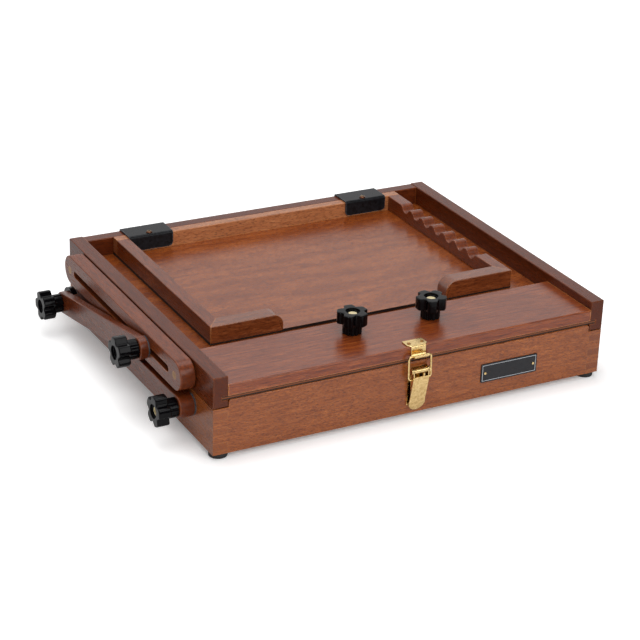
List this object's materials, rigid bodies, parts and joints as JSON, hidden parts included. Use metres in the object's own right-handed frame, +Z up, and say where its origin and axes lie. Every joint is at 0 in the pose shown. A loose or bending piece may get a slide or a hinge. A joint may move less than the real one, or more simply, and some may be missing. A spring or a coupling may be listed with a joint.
{
  "type": "pochade box",
  "caption": "Wooden painter's box with a hinged lid, slotted lid stay with star knobs, lift-out side tray, draw latch and tripod socket.",
  "frame": {"origin": "mouth of the tripod socket, in the middle of the underside of the box", "axes": "+X to the right seen from the latch side, -Y towards the latch side, +Z up"},
  "size_m": [0.4457, 0.3492, 0.0921],
  "materials": {
    "stained_beech": "reddish-brown stained hardwood, satin lacquer",
    "stained_plywood": "reddish-brown stained thin plywood, satin",
    "bare_wood": "pale unfinished hardwood",
    "black_plastic": "glossy black moulded plastic",
    "black_steel": "satin black coated steel",
    "polished_brass": "polished yellow brass plate",
    "aged_brass": "darker brass, slightly worn",
    "zinc_steel": "zinc plated steel",
    "black_rubber": "matt black rubber",
    "black_plate": "black enamelled plate with a thin pale border, no lettering"
  },
  "bodies": {
    "box": {"front_wall": "stained_beech", "back_wall": "stained_beech", "left_wall": "stained_beech", "right_wall": "stained_beech", "bottom_panel": "stained_plywood", "long_divider": "bare_wood", "cross_dividers": "bare_wood", "palette_cleats": "bare_wood", "rubber_feet": "black_rubber", "foot_screws": "zinc_steel", "tripod_plate": "zinc_steel", "tripod_screws": "zinc_steel", "name_plate": "black_plate", "name_plate_pins": "polished_brass", "box_hinge_leaves": "aged_brass", "hinge_pins": "aged_brass", "box_hinge_screws": "aged_brass", "latch_base": "polished_brass", "latch_base_screws": "polished_brass", "lever_pivot_pin": "polished_brass", "pivot_stud": "zinc_steel", "pivot_washer": "black_steel"},
    "palette": {"palette": "stained_plywood"},
    "lid": {"lid_left_rail": "stained_beech", "lid_right_rail": "stained_beech", "lid_back_rail": "stained_beech", "lid_sheet": "stained_plywood", "front_board": "stained_beech", "slotted_bar": "stained_beech", "bar_fixing_pins": "aged_brass", "lid_hinge_leaves": "aged_brass", "lid_hinge_screws": "aged_brass", "latch_keeper": "polished_brass", "keeper_rivets": "polished_brass"},
    "canvas_clamp": {"canvas_clamp": "bare_wood", "clamp_inserts": "aged_brass"},
    "side_tray": {"tray_floor": "stained_plywood", "tray_left_arm": "stained_beech", "tray_notched_arm": "stained_beech", "tray_rear_bar": "stained_beech", "tray_returns": "stained_beech", "tray_clips": "black_steel", "clip_screws": "aged_brass"},
    "lower_arm": {"lower_arm": "stained_beech", "elbow_disc": "black_plastic", "elbow_bolt": "zinc_steel"},
    "upper_arm": {"upper_arm": "stained_beech", "slot_bolt": "zinc_steel", "slot_washer": "black_steel"},
    "latch_lever": {"latch_lever": "polished_brass"},
    "latch_bail": {"latch_bail": "polished_brass"},
    "pivot_knob": {"pivot_knob": "black_plastic", "pivot_knob_insert": "aged_brass"},
    "elbow_knob": {"elbow_knob": "black_plastic"},
    "slot_knob": {"slot_knob": "black_plastic"},
    "left_board_knob": {"left_board_knob": "black_plastic", "left_board_stud": "aged_brass"},
    "right_board_knob": {"right_board_knob": "black_plastic", "right_board_stud": "aged_brass"}
  },
  "joints": [
    {"name": "lid_hinge", "type": "hinge", "parent": "box", "child": "lid", "pos_m": [0, 0.17, 0.0444], "axis": [-1, 0, 0], "range_deg": [0, 110]},
    {"name": "lower_arm_pivot", "type": "hinge", "parent": "box", "child": "lower_arm", "pos_m": [-0.2083, -0.1235, 0.03], "axis": [-1, 0, 0], "range_deg": [-9.5, 0]},
    {"name": "elbow_pivot", "type": "hinge", "parent": "lower_arm", "child": "upper_arm", "pos_m": [-0.2205, 0.12846, 0.0255], "axis": [-1, 0, 0], "range_deg": [0, 129]},
    {"name": "latch_lever_hinge", "type": "hinge", "parent": "box", "child": "latch_lever", "pos_m": [0, -0.173, 0.044], "axis": [-1, 0, 0], "range_deg": [0, 90]},
    {"name": "latch_bail_hinge", "type": "hinge", "parent": "latch_lever", "child": "latch_bail", "pos_m": [0, -0.1728, 0.036], "axis": [-1, 0, 0], "range_deg": [-68, 0]},
    {"name": "tray_lift", "type": "slide", "parent": "lid", "child": "side_tray", "axis": [0, 0, 1], "range_m": [0, 0.12]},
    {"name": "canvas_clamp_slide", "type": "slide", "parent": "lid", "child": "canvas_clamp", "axis": [0, 0, -1], "range_m": [0, 0.004]},
    {"name": "palette_slide", "type": "slide", "parent": "box", "child": "palette", "axis": [0, -1, 0], "range_m": [0, 0.1]},
    {"name": "pivot_knob_turn", "type": "hinge", "parent": "box", "child": "pivot_knob", "pos_m": [-0.226, -0.1235, 0.03], "axis": [-1, 0, 0], "continuous": true},
    {"name": "elbow_knob_turn", "type": "hinge", "parent": "lower_arm", "child": "elbow_knob", "pos_m": [-0.235, 0.12846, 0.0255], "axis": [-1, 0, 0], "continuous": true},
    {"name": "slot_knob_turn", "type": "hinge", "parent": "upper_arm", "child": "slot_knob", "pos_m": [-0.235, -0.05854, 0.05915], "axis": [-1, 0, 0], "continuous": true},
    {"name": "left_board_knob_turn", "type": "hinge", "parent": "lid", "child": "left_board_knob", "pos_m": [-0.0407, -0.119, 0.0766], "axis": [0, 0, 1], "continuous": true},
    {"name": "right_board_knob_turn", "type": "hinge", "parent": "lid", "child": "right_board_knob", "pos_m": [0.0407, -0.119, 0.0766], "axis": [0, 0, 1], "continuous": true}
  ],
  "couplings": [
    {"joint": "lower_arm_pivot", "follows": "lid_hinge", "ratio": -0.085236},
    {"joint": "elbow_pivot", "follows": "lid_hinge", "ratio": 1.1694},
    {"joint": "latch_bail_hinge", "follows": "latch_lever_hinge", "ratio": -0.75}
  ]
}
